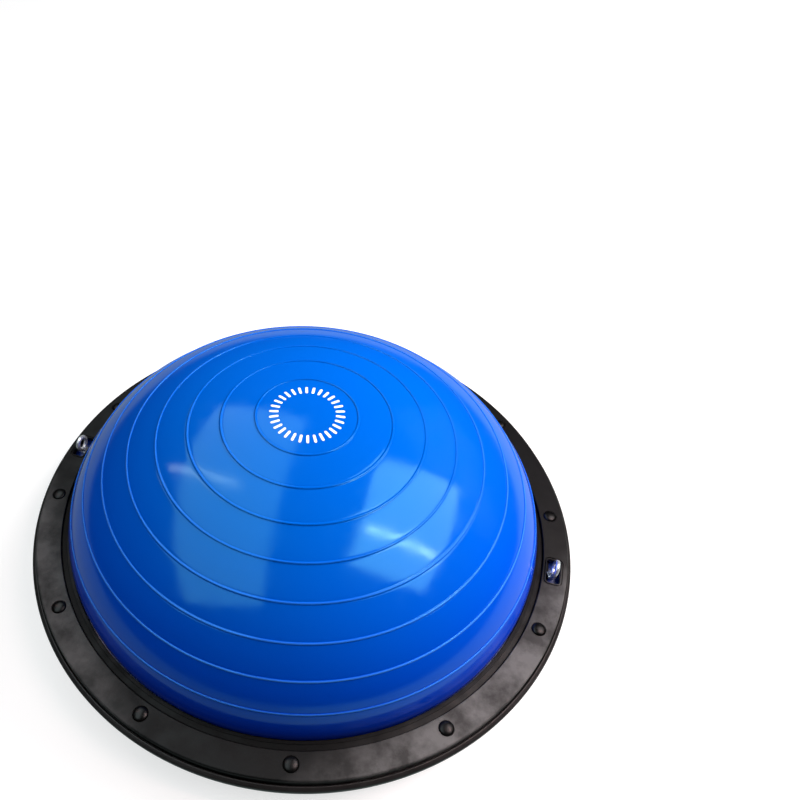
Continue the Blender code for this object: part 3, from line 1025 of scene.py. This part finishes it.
AIM = Vector((0.0, 0.0, 23.5 * MM))
CAMERA_DISTANCE = 706.0 * MM
CAMERA_ELEVATION = radians(55.78)
CAMERA_AZIMUTH = radians(-74.38)
CAMERA_ROLL = radians(2.09)
LENS = 27.12
SHIFT = (0.12075, 0.14775)


def direction(azimuth, elevation):
    level = cos(elevation)
    return Vector((level * cos(azimuth), level * sin(azimuth), sin(elevation)))


def make_camera():
    data = bpy.data.cameras.new("camera")
    data.sensor_width = 36.0
    data.lens = LENS
    data.shift_x, data.shift_y = SHIFT
    data.clip_start = 0.01
    data.clip_end = 50.0
    camera = bpy.data.objects.new("camera", data)
    bpy.context.scene.collection.objects.link(camera)
    back = direction(CAMERA_AZIMUTH, CAMERA_ELEVATION)
    level_turn = (-back).to_track_quat("-Z", "Y").to_matrix()
    turn = level_turn @ Matrix.Rotation(CAMERA_ROLL, 3, "Z")
    camera.matrix_world = Matrix.Translation(AIM + back * CAMERA_DISTANCE) @ turn.to_4x4()
    bpy.context.scene.camera = camera


WHITE = (1.0, 1.0, 1.0)
WARM = (1.0, 0.50, 0.47)
COOL = (0.84, 0.97, 1.0)


def panel(name, azimuth, elevation, distance, size, radiance, roll=0.0, tone=WHITE, mirrored=True):
    """A rectangular soft light that faces the dome, given as seen from it.

    One that isn't mirrored lights the dome without showing in its gloss.
    """
    data = bpy.data.lights.new(name, "AREA")
    data.shape = "RECTANGLE"
    data.size, data.size_y = size
    data.color = tone
    data.energy = radiance * data.size * data.size_y * pi
    light = bpy.data.objects.new(name, data)
    bpy.context.scene.collection.objects.link(light)
    back = direction(radians(azimuth), radians(elevation))
    turn = (-back).to_track_quat("-Z", "Y").to_matrix() @ Matrix.Rotation(radians(roll), 3, "Z")
    light.matrix_world = Matrix.Translation(AIM + back * distance) @ turn.to_4x4()
    light.visible_camera = False
    light.visible_glossy = mirrored


def make_lights():
    panel("key", 48, 26, 5.0, (4.0, 2.4), 17.0, mirrored=False)
    panel("right_box", 14, 53.3, 1.3, (1.02, 0.78), 5.0, roll=-8, tone=(1.0, 0.92, 0.92))
    panel("right_tube", 2, 54, 1.25, (0.04, 0.62), 38.0, tone=WARM)
    panel("left_box", 188, 63.5, 1.3, (2.1, 0.84), 2.0, roll=-4, tone=COOL)
    panel("left_tube", 172, 53, 1.25, (0.05, 0.60), 8.0, tone=WARM)


def make_floor():
    """A plain pale floor, which neither shows in the object's gloss nor lights it."""
    radius = 8.0
    mesh = skin_through([circle(radius, -0.02, 96), circle(radius, 0.0, 96)])
    floor = bpy.data.objects.new("floor", mesh)
    bpy.context.scene.collection.objects.link(floor)
    finish = Finish("floor")
    finish.colour(finish.noise(3, 2), (0.38, 0.38, 0.38), (0.40, 0.40, 0.40))
    finish.set(Roughness=0.9, Specular_IOR_Level=0.1)
    finish.set(Emission_Color=(1, 1, 1, 1), Emission_Strength=0.66)
    mesh.materials.append(finish.material)
    floor.visible_diffuse = False
    floor.visible_glossy = False


def make_world():
    """The room: white to the camera, and to the gloss dark with a pale floor below its horizon."""
    world = bpy.data.worlds.new("studio")
    bpy.context.scene.world = world
    world.use_nodes = True
    tree = world.node_tree

    def light_of(level):
        source = tree.nodes.new("ShaderNodeBackground")
        source.inputs["Color"].default_value = (level, level, level, 1.0)
        return source

    def chosen_by(ray_kind, otherwise, wanted):
        mix = tree.nodes.new("ShaderNodeMixShader")
        tree.links.new(rays.outputs[ray_kind], mix.inputs["Fac"])
        tree.links.new(otherwise, mix.inputs[1])
        tree.links.new(wanted, mix.inputs[2])
        return mix.outputs["Shader"]

    rays = tree.nodes.new("ShaderNodeLightPath")
    place = tree.nodes.new("ShaderNodeTexCoord")
    split = tree.nodes.new("ShaderNodeSeparateXYZ")
    level = tree.nodes.new("ShaderNodeMapRange")
    level.interpolation_type = "SMOOTHSTEP"
    level.inputs["From Min"].default_value = -0.11
    level.inputs["From Max"].default_value = -0.19
    level.inputs["To Min"].default_value = 0.02
    level.inputs["To Max"].default_value = 1.0
    side = tree.nodes.new("ShaderNodeMapRange")
    side.interpolation_type = "SMOOTHSTEP"
    side.inputs["From Min"].default_value = -0.2
    side.inputs["From Max"].default_value = 0.8
    side.inputs["To Min"].default_value = 0.34
    side.inputs["To Max"].default_value = 0.66
    both = tree.nodes.new("ShaderNodeMath")
    both.operation = "MULTIPLY"
    tree.links.new(place.outputs["Generated"], split.inputs["Vector"])
    tree.links.new(split.outputs["Z"], level.inputs["Value"])
    tree.links.new(split.outputs["X"], side.inputs["Value"])
    tree.links.new(level.outputs["Result"], both.inputs[0])
    tree.links.new(side.outputs["Result"], both.inputs[1])
    mirrored = light_of(1.0)
    mirrored.inputs["Color"].default_value = (0.78, 1.0, 0.97, 1.0)
    tree.links.new(both.outputs["Value"], mirrored.inputs["Strength"])
    room = chosen_by("Is Glossy Ray", light_of(0.035).outputs[0], mirrored.outputs[0])
    shown = chosen_by("Is Camera Ray", room, light_of(0.95).outputs[0])
    tree.links.new(shown, tree.nodes["World Output"].inputs["Surface"])


dome_piece = make_dome()
print_piece = make_print()
make_flange()
make_air_floor()
make_tray()
make_rim()
make_screw_caps()
make_clamp()
make_screws()
make_eye_bolts()
make_nuts_and_washers()
make_feet()
make_valve()
for soft_piece in (dome_piece, print_piece):
    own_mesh(soft_piece)
make_camera()
make_lights()
make_floor()
make_world()
bpy.context.scene.view_settings.view_transform = "Standard"
